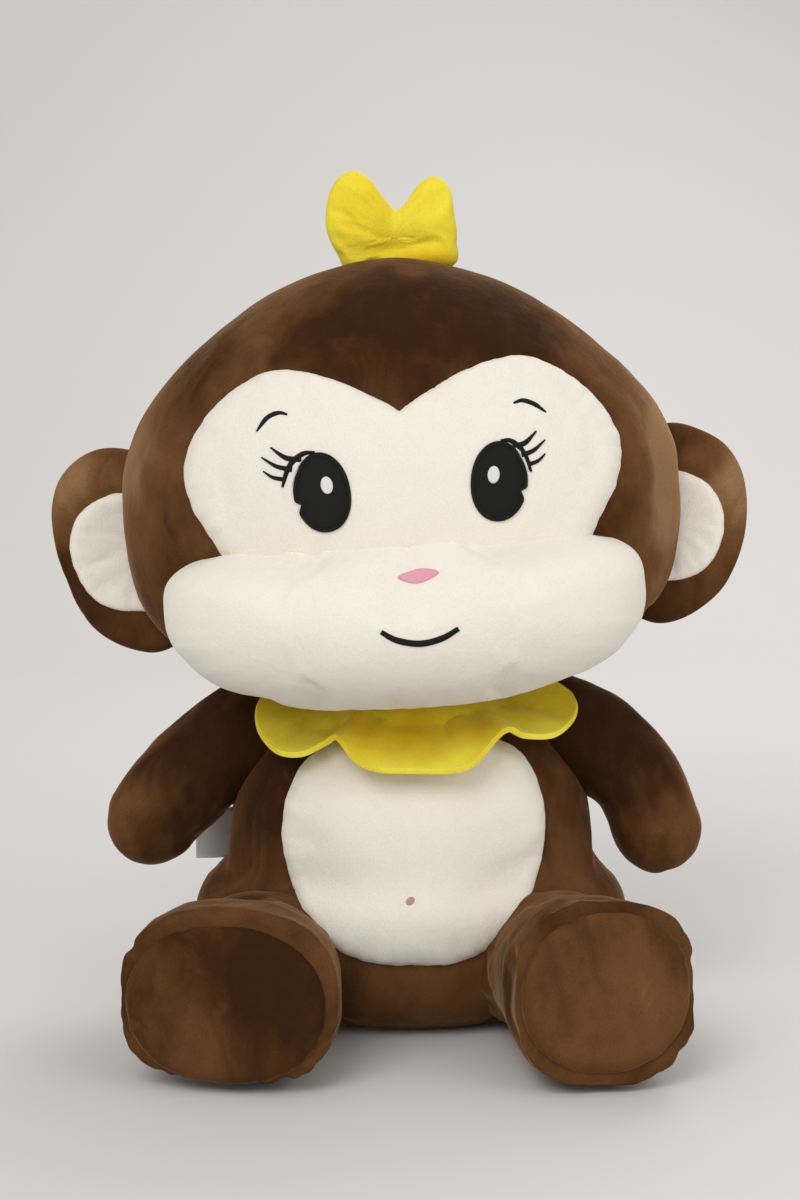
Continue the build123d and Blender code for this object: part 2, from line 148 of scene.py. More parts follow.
def near_curve(points, curve):
    """Each point's distance to the nearest sample of a curve, and that sample's number."""
    best = np.full(len(points), np.inf)
    which = np.zeros(len(points), int)
    for number, sample in enumerate(curve):
        distance = np.linalg.norm(points - sample, axis=1)
        closer = distance < best
        best[closer] = distance[closer]
        which[closer] = number
    return best, which


def puffed(vectors, half_width, half_depth, top, bottom, squareness=2.2):
    """A stuffed pillow shape. top and bottom are (half-height, corner fullness)."""
    x, y, z = np.abs(vectors).T
    upper = vectors[:, 2] > 0
    height = np.where(upper, top[0], bottom[0])
    power = np.where(upper, top[1], bottom[1])
    flat = ((x / half_width) ** power + (z / height) ** power) ** (1 / power)
    whole = (flat**squareness + (y / half_depth) ** squareness) ** (1 / squareness)
    return vectors / whole[:, None]


def modified(points, quads, modifiers, frames=0, held=None):
    """The points and faces that modifiers give a skin, after some frames of simulation."""
    mesh = bpy.data.meshes.new("work")
    mesh.from_pydata([tuple(p) for p in points * MM], [], [tuple(int(i) for i in q) for q in quads])
    thing = bpy.data.objects.new("work", mesh)
    bpy.context.scene.collection.objects.link(thing)
    if held is not None:
        group = thing.vertex_groups.new(name="held")
        for number in np.flatnonzero(held > 0.02):
            group.add([int(number)], float(held[number]), "REPLACE")
    for add in modifiers:
        add(thing)
    for frame_number in range(1, frames + 1):
        bpy.context.scene.frame_set(frame_number)
    graph = bpy.context.evaluated_depsgraph_get()
    shaped = thing.evaluated_get(graph).to_mesh()
    result = np.array([tuple(v.co) for v in shaped.vertices]) / MM
    faces = [tuple(p.vertices) for p in shaped.polygons]
    bpy.data.objects.remove(thing)
    bpy.data.meshes.remove(mesh)
    bpy.context.scene.frame_set(1)
    return result, faces


def cloth_skin(slack):
    """Cloth with air pressure inside, cut a little larger than its pattern."""
    def add(thing):
        cloth = thing.modifiers.new("stuffing", "CLOTH")
        cloth.settings.vertex_group_mass = "held"
        cloth.settings.use_pressure = True
        cloth.settings.uniform_pressure_force = PRESSURE
        cloth.settings.effector_weights.gravity = 0
        cloth.settings.shrink_min = -slack
        cloth.settings.bending_stiffness = 1.5
        cloth.collision_settings.use_collision = False
        cloth.point_cache.frame_end = SIM_FRAMES
    return add


def finer(thing):
    """One level of smooth subdivision."""
    surface = thing.modifiers.new("finer", "SUBSURF")
    surface.levels = 1


def stuffed(points, quads, held, slack=0.03, cap=5.0):
    """A closed skin blown up by cloth simulation where it isn't held at its seams, then made finer."""
    quads = outward(points, quads)
    moved, _ = modified(points, quads, [cloth_skin(slack)], SIM_FRAMES, held)
    way = moved - points
    length = np.maximum(np.linalg.norm(way, axis=1), 1e-6)
    points = points + way * (cap * np.tanh(length / cap) / length)[:, None]
    points, quads = modified(points, quads, [finer])
    return points, np.array(quads)


def outward(points, faces):
    """The faces of a closed skin, turned if need be so that they look outwards."""
    points = np.asarray(points)
    volume = 0.0
    for face in faces:
        first = points[face[0]]
        for a, b in zip(face[1:-1], face[2:]):
            volume += float(np.dot(first, np.cross(points[a], points[b])))
    return list(faces) if volume > 0 else [tuple(face)[::-1] for face in faces]


def tube_grid(rings, around):
    """Quads of rings of points with a closing point at each end, which come last."""
    quads = []
    for r in range(rings - 1):
        for k in range(around):
            n = (k + 1) % around
            quads.append([r * around + k, r * around + n, (r + 1) * around + n, (r + 1) * around + k])
    return quads


def capped_tube(rings, around):
    """Faces of rings of points, closed at both ends."""
    ends = [list(range(around)), list(range((rings - 1) * around, rings * around))[::-1]]
    return [*tube_grid(rings, around), *ends]


class Skin:
    """A surface that flat shapes can be laid on, along +Y."""

    def __init__(self, points, quads):
        self.tree = BVHTree.FromPolygons([tuple(p) for p in points], [tuple(q) for q in quads])

    def lay(self, flat, to_world=None, toward=1.0):
        """Where flat (x, z) points land, and the surface's normals there."""
        spots, normals = [], []
        starts = np.stack([flat[:, 0], np.full(len(flat), -400.0 * toward), flat[:, 1]], axis=1)
        starts = to_world(starts) if to_world else starts
        for start in starts:
            spot, normal, _, _ = self.tree.ray_cast(Vector(start), Vector((0, toward, 0)))
            if spot is None:
                spot, normal, _, _ = self.tree.find_nearest(Vector((start[0], -40.0 * toward, start[2])))
            spots.append(spot)
            normals.append(normal if normal.y * toward < 0 else -normal)
        return np.array(spots), np.array(normals)


def mesh_object(name, points, faces, material, closed=True):
    """A Blender mesh object from points in millimetres, with its faces outwards if it is closed."""
    faces = outward(points, faces) if closed else faces
    mesh = bpy.data.meshes.new(name)
    mesh.from_pydata([tuple(p) for p in np.asarray(points) * MM], [], [tuple(int(i) for i in f) for f in faces])
    mesh.validate()
    mesh.update()
    mesh.materials.append(material)
    mesh.shade_smooth()
    thing = bpy.data.objects.new(name, mesh)
    bpy.context.scene.collection.objects.link(thing)
    return thing


def patch(name, outline, skin, material, rise, rings=16, roll=2.5, sink=0.8, to_world=None, toward=1.0, wave=0.0):
    """A closed panel laid on a skin inside an outline, its edge rolled down into the skin."""
    centre = outline.mean(axis=0)
    around = len(outline)
    reach = np.linalg.norm(outline - centre, axis=1)
    shares = 1 - np.linspace(1, 0, rings + 1) ** 1.35
    spots, normals = skin.lay(np.concatenate([centre + (outline - centre) * s for s in shares[1:]]), to_world, toward)
    middle, middle_normal = skin.lay(centre[None], to_world, toward)
    points = [middle[0] + middle_normal[0] * rise]
    for ring, share in enumerate(shares[1:]):
        rows = slice(ring * around, (ring + 1) * around)
        edge = np.minimum(reach * (1 - share) / roll, 1)
        height = -sink + (rise + sink) * np.sqrt(1 - (1 - edge) ** 2)
        ripple = wave * (1 - edge) * lumps(spots[rows], 5.0, 3.1) if wave else 0
        points.extend(spots[rows] + normals[rows] * (height + ripple)[:, None])
    faces = [[0, 1 + k, 1 + (k + 1) % around] for k in range(around)]
    for ring in range(rings - 1):
        for k in range(around):
            n = (k + 1) % around
            a, b = 1 + ring * around, 1 + (ring + 1) * around
            faces.append([a + k, b + k, b + n, a + n])
    under = len(points)
    last = slice((rings - 1) * around, rings * around)
    half = slice((rings // 2 - 1) * around, (rings // 2) * around)
    depth = sink + 0.8
    points.extend(spots[last] - normals[last] * depth)
    points.extend(spots[half] - normals[half] * depth)
    points.append(middle[0] - middle_normal[0] * depth)
    outer = 1 + (rings - 1) * around
    for k in range(around):
        n = (k + 1) % around
        faces.append([outer + k, under + k, under + n, outer + n])
        faces.append([under + k, under + around + k, under + around + n, under + n])
        faces.append([under + around + k, len(points) - 1, under + around + n])
    if toward < 0:
        faces = [face[::-1] for face in faces]
    return mesh_object(name, points, faces, material)


def stroke(name, path, widths, skin, material, rise, to_world=None, samples=60, toward=1.0):
    """A line of satin stitch laid on a skin, as wide along its way as widths says."""
    line = smooth_loop(path, samples, closed=False)
    width = np.interp(np.linspace(0, 1, samples), np.linspace(0, 1, len(widths)), widths)
    spots, normals = skin.lay(line, to_world, toward)
    along = np.gradient(spots, axis=0)
    along /= np.linalg.norm(along, axis=1)[:, None]
    side = np.cross(normals, along)
    section = [(math.cos(a), math.sin(a)) for a in np.linspace(0, 2 * math.pi, 12, endpoint=False)]
    points = []
    for i in range(samples):
        for c, s in section:
            height = rise * s if s > 0 else 0.5 * s
            points.append(spots[i] + side[i] * (c * width[i] / 2) + normals[i] * height)
    faces = tube_grid(samples, len(section))
    points.extend([spots[0], spots[-1]])
    first, last = samples * len(section), samples * len(section) + 1
    for k in range(len(section)):
        n = (k + 1) % len(section)
        faces.append([first, n, k])
        faces.append([last, (samples - 1) * len(section) + k, (samples - 1) * len(section) + n])
    return mesh_object(name, points, faces, material)


def join(name, things):
    """Several mesh objects made one."""
    with bpy.context.temp_override(active_object=things[0], selected_editable_objects=things,
                                   selected_objects=things, object=things[0]):
        bpy.ops.object.join()
    things[0].name = name
    things[0].data.name = name
    return things[0]


# ---- materials
def node_maker(material):
    """A short way to add and link a material's nodes."""
    tree = material.node_tree

    def add(kind, inputs=(), **settings):
        node = tree.nodes.new(kind)
        for key, value in settings.items():
            setattr(node, key, value)
        for socket, value in dict(inputs).items():
            if isinstance(value, bpy.types.NodeSocket):
                tree.links.new(value, node.inputs[socket])
            else:
                node.inputs[socket].default_value = value
        return node

    return add


def mixed_colour(add, factor, first, second):
    """Two colours mixed by a factor."""
    ends = {"Factor": factor, "A": first, "B": second}
    return add("ShaderNodeMix", ends, data_type="RGBA").outputs["Result"]


def clouds(add, vector, scale, detail, **more):
    """Noise from 0 to 1 with patches of a scale."""
    return add("ShaderNodeTexNoise", {"Vector": vector, "Scale": scale, "Detail": detail, **more}).outputs["Fac"]


def new_material(name, roughness, sheen=0.0, sheen_roughness=0.5, sheen_tint=(1, 1, 1), specular=0.5):
    """A material with its own Principled shader."""
    material = bpy.data.materials.new(name)
    material.use_nodes = True
    shader = material.node_tree.nodes["Principled BSDF"]
    shader.inputs["Roughness"].default_value = roughness
    shader.inputs["Sheen Weight"].default_value = sheen
    shader.inputs["Sheen Roughness"].default_value = sheen_roughness
    shader.inputs["Sheen Tint"].default_value = (*sheen_tint, 1)
    shader.inputs["Specular IOR Level"].default_value = specular
    return material, shader, node_maker(material)


def plush(name, dark, light, nap=14.0, contrast=0.5, spots=(), seed=0.0, sheen=0.6, sheen_tint=(1, 1, 1),
          sheen_roughness=0.45, fibre=0.12, crush=0.3, pale=None):
    """Short velvety pile: brushed patches, fine streaks, fibre grain and a soft sheen.

    spots are (place in millimetres, radius, strength): places made lighter or darker, mostly painted light and shade,
    some brushed nap.
    """
    material, shader, add = new_material(name, 0.9, sheen, sheen_roughness, sheen_tint, specular=0.06)
    tree = material.node_tree
    place = add("ShaderNodeTexCoord").outputs["Object"]
    brushed = add("ShaderNodeVectorMath", {0: place, 1: (1.0, 1.0, 0.6)}, operation="MULTIPLY").outputs[0]
    shifted = add("ShaderNodeVectorMath", {0: brushed, 1: (seed, -seed, 0.5 * seed)}, operation="ADD").outputs[0]
    big = clouds(add, shifted, nap, 3.0, Roughness=0.55, Distortion=0.7)
    small = clouds(add, shifted, nap * 2.7, 3.0, Roughness=0.6, Distortion=0.8)
    value = add("ShaderNodeMath", {0: small, 1: -0.5}, operation="ADD").outputs[0]
    value = add("ShaderNodeMath", {0: value, 1: crush, 2: big}, operation="MULTIPLY_ADD").outputs[0]
    # Each spot adds painted light or painted shade around a given place.
    for centre, radius, strength in spots:
        away = add("ShaderNodeVectorMath", {0: place, 1: tuple(c * MM for c in centre)},
                   operation="DISTANCE").outputs["Value"]
        fade = add("ShaderNodeMapRange", {"Value": away, "From Min": 0.0, "From Max": radius * MM,
                                          "To Min": strength, "To Max": 0.0},
                   interpolation_type="SMOOTHSTEP").outputs["Result"]
        value = add("ShaderNodeMath", {0: value, 1: fade}, operation="ADD").outputs[0]
    soft = add("ShaderNodeMapRange", {"Value": value, "From Min": 0.5 - contrast / 2,
                                      "From Max": 0.5 + contrast / 2},
               interpolation_type="SMOOTHSTEP").outputs["Result"]
    streaks = clouds(add, shifted, nap * 7, 4.0, Roughness=0.6)
    mixed = add("ShaderNodeMath", {0: streaks, 1: -0.5}, operation="ADD").outputs[0]
    mixed = add("ShaderNodeMath", {0: mixed, 1: 0.35, 2: soft}, operation="MULTIPLY_ADD",
                use_clamp=True).outputs[0]
    colour = mixed_colour(add, mixed, (*dark, 1), (*light, 1))
    # Where the value runs high the colour turns to the pale tone. At random these are pale nap patches; at strong
    # light spots, as on the head's and ears' sides, they are a painted highlight.
    pale_nap_and_painted_sheen = add("ShaderNodeMapRange", {"Value": value, "From Min": 0.78, "From Max": 1.2},
               interpolation_type="SMOOTHSTEP").outputs["Result"]
    colour = mixed_colour(add, pale_nap_and_painted_sheen, colour, (*(pale or light), 1))
    grain = clouds(add, place, 1300.0, 2.0)
    gain = add("ShaderNodeMapRange", {"Value": grain, "From Min": 0.3, "From Max": 0.7,
                                      "To Min": 1 - fibre, "To Max": 1 + fibre}).outputs["Result"]
    speckled = add("ShaderNodeVectorMath", {0: colour, "Scale": gain}, operation="SCALE")
    tree.links.new(speckled.outputs[0], shader.inputs["Base Color"])
    tufts = clouds(add, shifted, 260.0, 3.0, Roughness=0.65)
    rough = add("ShaderNodeBump", {"Height": tufts, "Strength": 0.5, "Distance": 0.0007})
    fine = add("ShaderNodeBump", {"Height": grain, "Strength": 0.55, "Distance": 0.00035,
                                  "Normal": rough.outputs["Normal"]})
    nap_edge = add("ShaderNodeBump", {"Height": soft, "Strength": 0.35, "Distance": 0.0012,
                                      "Normal": fine.outputs["Normal"]})
    tree.links.new(nap_edge.outputs["Normal"], shader.inputs["Normal"])
    return material


def thread(name, colour, pitch=0.45, angle=0.0, roughness=0.42):
    """Satin stitch: fine parallel threads with a silky shine."""
    material, shader, add = new_material(name, roughness, specular=0.22)
    tree = material.node_tree
    place = add("ShaderNodeTexCoord").outputs["Object"]
    turned = add("ShaderNodeMapping", {"Vector": place, "Rotation": (0, math.radians(angle), 0)}).outputs[0]
    wobble = add("ShaderNodeTexWave", {"Vector": turned, "Scale": 314 / pitch, "Distortion": 1.4, "Detail": 2.0,
                                       "Detail Scale": 1.6}, bands_direction="X").outputs["Fac"]
    # The colour darkens by a quarter in the grooves between threads: painted shade.
    shade = mixed_colour(add, wobble, (*[c * 0.75 for c in colour], 1), (*colour, 1))
    tree.links.new(shade, shader.inputs["Base Color"])
    ridges = add("ShaderNodeBump", {"Height": wobble, "Strength": 0.7, "Distance": 0.00025})
    tree.links.new(ridges.outputs["Normal"], shader.inputs["Normal"])
    return material


def satin_ribbon(name):
    """A woven satin ribbon with a fine weave."""
    material, shader, add = new_material(name, 0.38, sheen=0.3, sheen_roughness=0.3)
    tree = material.node_tree
    place = add("ShaderNodeTexCoord").outputs["Object"]
    weave = add("ShaderNodeTexWave", {"Vector": place, "Scale": 620.0, "Distortion": 0.3},
                bands_direction="Z").outputs["Fac"]
    # The colour is a little darker in the weave's grooves: painted shade.
    shade = mixed_colour(add, weave, (0.92, 0.93, 0.95, 1), (0.97, 0.97, 0.98, 1))
    tree.links.new(shade, shader.inputs["Base Color"])
    ridges = add("ShaderNodeBump", {"Height": weave, "Strength": 0.4, "Distance": 0.0002})
    tree.links.new(ridges.outputs["Normal"], shader.inputs["Normal"])
    return material


# ---- materials of this toy
# The third, pale brown is the tone that high values turn to: pale nap patches at random, and a painted highlight at
# strong light spots.
BROWN_DARK, BROWN_LIGHT, BROWN_PALE_AND_SHEEN = (0.037, 0.0138, 0.0043), (0.138, 0.060, 0.0205), (0.27, 0.152, 0.070)
BROWN_SHEEN = (1.0, 0.62, 0.34)


def brown(name, seed, nap=16.0, spots=()):
    """The toy's brown plush, its nap patches laid out differently on each piece, with painted light and shade at the
    spots given.
    """
    return plush(name, BROWN_DARK, BROWN_LIGHT, nap, 0.6, spots, seed, sheen=0.34, sheen_tint=BROWN_SHEEN,
                 sheen_roughness=0.3, crush=0.62, pale=BROWN_PALE_AND_SHEEN)


def cream(name, seed):
    """The toy's cream plush."""
    return plush(name, (0.82, 0.765, 0.665), (0.875, 0.83, 0.745), 9.0, 0.9, (), seed, sheen=0.2, fibre=0.03)


def yellow(name, seed, spots=()):
    """The toy's yellow plush, mustard in random patches of its pile and where spots paint shade in folds."""
    return plush(name, (0.70, 0.45, 0.006), (0.93, 0.83, 0.070), 12.0, 0.75, spots, seed, sheen=0.3,
                 sheen_tint=(1, 0.95, 0.5), fibre=0.05)


black_thread = thread("black_thread", (0.0085, 0.0085, 0.008), angle=20, roughness=0.6)
white_thread = thread("white_thread", (0.95, 0.95, 0.95), angle=20)
pink_thread = thread("pink_thread", (0.93, 0.42, 0.52), angle=80)
tan_thread = thread("tan_thread", (0.62, 0.42, 0.32), angle=10)
brown_thread = thread("brown_thread", (0.045, 0.018, 0.009), angle=10)
label_ribbon = satin_ribbon("label_ribbon")

BALL, BALL_QUADS = ball_grid(38)
TINY_BALL, TINY_QUADS = ball_grid(18)


def settle(piece, body, nodes):
    """The piece stands for CAD nodes, which are hidden, and rides on a body."""
    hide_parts(*nodes)
    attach(piece, body)


def surface_of(thing):
    """A mesh object's points in millimetres and its faces."""
    points = np.array([tuple(v.co) for v in thing.data.vertices]) / MM
    return points, [tuple(p.vertices) for p in thing.data.polygons]


def puckers(distance, which, curve_length, reach, depth, seed):
    """Small gathers beside a seam: which numbers the nearest sample of the seam."""
    along = which * curve_length
    wave = np.array([noise.noise(Vector((a / 5.5, seed, 0))) for a in along])
    return depth * wave * np.exp(-((distance / reach) ** 2))


# ---- torso
TORSO = [(64, 0), (80, 5), (91, 13), (98.5, 25), (102, 38), (102.5, 50), (99.5, 60), (92, 68), (88.5, 76), (86.5, 88),
         (83, 104), (76, 120), (64, 136), (50, 147), (30, 152)]
TORSO_DEPTH = 0.78
TORSO_RINGS, TORSO_AROUND = 38, 124


def belly_outline(samples):
    """The egg-shaped belly panel's edge, on the torso's front."""
    edge = [(3, 37.5), (27, 40), (46, 51.5), (59, 70), (64.5, 93), (62, 113), (52, 130), (30, 139), (3, 141),
            (-24, 139), (-45, 129), (-56, 112), (-59, 92), (-53.5, 69), (-41, 50), (-21, 39.5)]
    return smooth_loop(edge, samples)


def torso_skin():
    """The torso's closed skin: blown up between its seams, then sewn in along them."""
    levels = smooth_loop(TORSO, TORSO_RINGS, closed=False)
    seat = np.stack([np.linspace(3, 64, 10)[:-1], np.zeros(9)], axis=1)
    crown = np.stack([np.linspace(30, 2, 6)[1:], np.linspace(152, 153, 6)[1:]], axis=1)
    profile = np.concatenate([seat, levels, crown])
    angles = np.linspace(0, 2 * math.pi, TORSO_AROUND, endpoint=False)
    rings = []
    for half_width, height in profile:
        x = 1.5 * min(height / 40, 1) + half_width * np.sin(angles)
        y = -TORSO_DEPTH * half_width * np.cos(angles)
        belly = 4.0 * np.clip(-y / 74, 0, 1) ** 2 * math.exp(-(((height - 74) / 40) ** 2))
        rings.append(np.stack([x, y - belly, np.full(TORSO_AROUND, height)], axis=1))
    points = np.concatenate(rings)
    quads = capped_tube(len(profile), TORSO_AROUND)
    edge, _ = near_curve(points[:, [0, 2]], belly_outline(200))
    side = (np.abs(points[:, 1] - 8) < 3) & (np.abs(points[:, 0]) > 30)
    held = np.maximum(dent(edge, 3.0) * (points[:, 1] < 0), side)
    held = np.maximum(held, (points[:, 2] < 3) | (points[:, 2] > 140))
    points, quads = stuffed(points, quads, held.astype(float), slack=0.025, cap=3.0)
    above = np.clip(points[:, 2] / 12, 0, 1)
    front = points[:, 1] < -8
    edge, which = near_curve(points[:, [0, 2]], belly_outline(300))
    amounts = -1.5 * dent(edge, 3.0) * front + puckers(edge, which, 1.2, 9.0, 1.4, 3.0) * front
    amounts += 0.8 * lumps(points, 34.0, 0.4) * above + 0.35 * lumps(points, 11.0, 5.4) * above
    below = (points[:, 2] < 40) | ~front
    amounts -= 1.8 * dent(points[:, 0] - 2.5, 2.2) * below * above
    amounts -= 1.0 * dent(points[:, 1] - 8, 2.0) * (np.abs(points[:, 0]) > 30) * above
    points = push(points, quads, amounts)
    points[:, 2] = np.maximum(points[:, 2], 0.0)
    return points, quads


def build_torso(points, quads):
    """The torso with its belly panel, navel and closing stitches."""
    # Spots: painted shade on the upper chest beside the arms and under the collar, painted light on the lower front
    # and on the haunches.
    brushed = [((-60, -50, 110), 40, -0.2), ((75, -35, 115), 45, -0.15), ((5, -65, 20), 45, 0.3),
               ((-75, -50, 78), 26, 0.2), ((82, -45, 78), 26, 0.2)]
    torso = mesh_object("torso_plush", points, quads, brown("torso_brown", 1.7, spots=brushed))
    skin = Skin(points, quads)
    belly = patch("belly_plush", belly_outline(220), skin, cream("belly_cream", 5.2), rise=1.4, rings=30, roll=4.5,
                  wave=0.9)
    navel = patch("navel_knot", oval((1, 68), 2.4, 1.8, 24, lean=30), Skin(*surface_of(belly)), tan_thread,
                  rise=0.35, rings=5, roll=1.4, sink=0.3)
    stitches = []
    for number in range(8):
        height = 52 + number * 6
        stitches.append(stroke(f"stitch_{number}", [(-1.1, height - 1.2), (2.5, height), (6.1, height + 1.2)],
                               [0.7, 1.3, 0.7], skin, brown_thread, rise=0.9, samples=10, toward=-1.0))
    seam = join("closing_stitches", stitches)
    settle(torso, "torso", ("torso_shell", "torso_stuffing"))
    settle(belly, "torso", ("belly_panel",))
    settle(navel, "torso", ("navel_stitch",))
    settle(seam, "torso", ("closing_seam",))


# ---- collar
COLLAR_EDGE = [   # front petal, then round by the toy's left, the back and its right
    (3, -79, 126), (20, -78, 126), (30, -75, 129), (44.5, -63, 142), (54, -60, 139), (68, -53, 138.5), (78, -39, 145),
    (78, -26, 153), (66, -12, 160), (60, 8, 161), (66, 28, 155), (60, 46, 145), (46, 52, 149), (34, 64, 138),
    (0, 72, 132), (-34, 64, 136), (-46, 52, 147), (-58, 44, 143), (-62, 24, 150), (-57, 6, 156), (-60, -12, 156),
    (-70, -28, 151), (-70, -42, 140), (-61, -54, 131), (-49, -60, 130.5), (-38, -62, 136), (-32.5, -63, 138.5),
    (-24, -73, 130), (-14, -78, 126.5),
]


COLLAR_THICKNESS, COLLAR_GAP = 2.6, 3.6


def rested(points, skin, gap):
    """Points of a sheet moved out to lie at least a gap above a skin."""
    moved = []
    for point in points:
        spot, normal, _, _ = skin.tree.find_nearest(Vector(point))
        height = (Vector(point) - spot).dot(normal)
        moved.append(Vector(point) + normal * max(gap - height, 0))
    return np.array(moved)


def build_collar(chest):
    """A scalloped collar of doubled cloth, gathered at the neck, its petals turned up at their edges."""
    around, rings = 360, 30
    edge = smooth_loop(COLLAR_EDGE, around)
    neck_angles = np.arctan2(edge[:, 1], edge[:, 0])
    neck = np.stack([32 * np.cos(neck_angles), 28 * np.sin(neck_angles), np.full(around, 156.0)], axis=1)
    steps = np.concatenate([[0], np.cumsum(np.linalg.norm(np.diff(edge, axis=0), axis=1))])
    points = []
    for share in np.linspace(0, 1, rings):
        fall = share**0.72
        ring = neck + (edge - neck) * np.array([1, 1, 0]) * share
        ring[:, 2] = neck[:, 2] + (edge[:, 2] - neck[:, 2]) * fall
        crease = np.array([noise.noise(Vector((s / 17.0, 1.6, share * 1.2))) for s in steps])
        gather = np.array([noise.noise(Vector((s / 5.0, 4.1, 0))) for s in steps])
        ring[:, 2] += 4.6 * crease * math.sin(math.pi * min(share * 1.05, 1)) ** 0.8
        ring[:, 2] += 1.3 * gather * (1 - share) * math.sin(math.pi * share) + 1.4 * share**9
        points.append(ring)
    points = rested(np.concatenate(points), chest, COLLAR_GAP)
    faces = tube_grid(rings, around)
    # Spots: painted shade in the folds and under the head near the neck, painted light on the petals' lower edges.
    painted_fold_light_and_shade = [((4, -62, 142), 26, -0.3), ((-24, -58, 145), 18, -0.25), ((32, -58, 145), 18, -0.25),
             ((-56, -38, 153), 12, -0.3), ((56, -42, 154), 12, -0.2), ((0, -84, 124), 20, 0.3),
             ((-55, -62, 130), 17, 0.35), ((66, -54, 138), 18, 0.35)]
    collar = mesh_object("collar_cloth", points, faces, yellow("collar_yellow", 3.3, painted_fold_light_and_shade), closed=False)
    solid = collar.modifiers.new("cloth", "SOLIDIFY")
    solid.thickness = COLLAR_THICKNESS * MM
    solid.offset = 0.0
    rounded = collar.modifiers.new("rolled_edge", "BEVEL")
    rounded.width = 1.0 * MM
    rounded.segments = 3
    rounded.limit_method = "ANGLE"
    settle(collar, "torso", ("collar",))


# ---- head
HEAD_WIDTH, HEAD_DEPTH, HEAD_HEIGHT = 133.0, 92.0, 102.0


def heart_outline(samples):
    """The face panel's edge, in the head's own frame: two arcs that meet in a notch."""
    half = [(0, 33.5), (3, 35.5), (13, 41.0), (26, 47.6), (42, 52.8), (57, 54), (71, 48.5), (86, 37), (96, 23.5),
            (100, 10), (97.5, -5), (91, -17), (84, -30), (76, -54)]
    left = [(2 - x, z) for x, z in half[1:]]
    right = [(2 + x, z) for x, z in half]
    return smooth_loop([*right, (0, -62), *left[::-1]], samples)


def head_skin():
    """The head's closed skin in the toy's frame, blown up between its seams and sewn in along them."""
    x, y, z = BALL.T
    flat = np.maximum(np.hypot(x, y), 1e-6)
    power = np.where(z > 0, 1.68, 3.3)
    height = np.where(z > 0, HEAD_HEIGHT - 0.5, 98)
    width = (1 - np.minimum(np.abs(z), 1) ** power).clip(0) ** (1 / power)
    depth = (1 - np.abs(z) ** 2.15).clip(0) ** (1 / 2.15)
    wide, deep = (HEAD_WIDTH - 1.5) * width / flat, (HEAD_DEPTH - 2) * depth / flat
    points = np.stack([wide * x, deep * y, height * z], axis=1)
    points[:, 0] -= 4.0 * dent(points[:, 2] - 55, 28) * np.clip(points[:, 0] / 60, 0, 1)
    face, _ = near_curve(points[:, [0, 2]], heart_outline(240))
    held = np.maximum(dent(face, 4.0) * (points[:, 1] < 0), (np.abs(points[:, 1] - 24) < 4) & (points[:, 2] > -70))
    points, quads = stuffed(points, BALL_QUADS, held.astype(float), slack=0.012, cap=2.5)
    face, which = near_curve(points[:, [0, 2]], heart_outline(400))
    front = points[:, 1] < -10
    amounts = -1.6 * dent(face, 3.0) * front + puckers(face, which, 1.6, 10.0, 1.5, 8.0) * front
    amounts -= 1.0 * dent(points[:, 1] - 24, 2.2) * (points[:, 2] > -80)
    amounts -= 1.0 * dent(points[:, 0], 2.2) * (points[:, 1] > 24)
    amounts += 1.4 * lumps(points, 52.0, 0.9) + 0.45 * lumps(points, 14.0, 7.7)
    return push(head_to_world(points), quads, amounts), quads


def muzzle_skin():
    """The muzzle pillow's closed skin, gathered into the seam behind it."""
    points = puffed(BALL, 109.5, 56, (31, 3.7), (46.5, 2.25), 2.25)
    points[:, 1] += 5.0 * (np.abs(points[:, 0]) / 111) ** 2 * (points[:, 1] < 0)
    held = np.clip((points[:, 1] + 4) / 12, 0, 1)
    points, quads = stuffed(points, BALL_QUADS, held, slack=0.02, cap=2.5)
    angle = np.arctan2(points[:, 2], points[:, 0] / 2.2)
    gathers = np.array([noise.noise(Vector((9 * math.cos(a), 9 * math.sin(a), 2.0))) for a in angle])
    reach = np.exp(-(((points[:, 1] + 22) / 16) ** 2))
    amounts = 0.7 * gathers * reach + 0.9 * lumps(points, 40.0, 3.9) + 0.2 * lumps(points, 13.0, 8.8)
    points = points + np.array([-1.0, -61, -55.5])
    return push(head_to_world(points), quads, amounts), quads


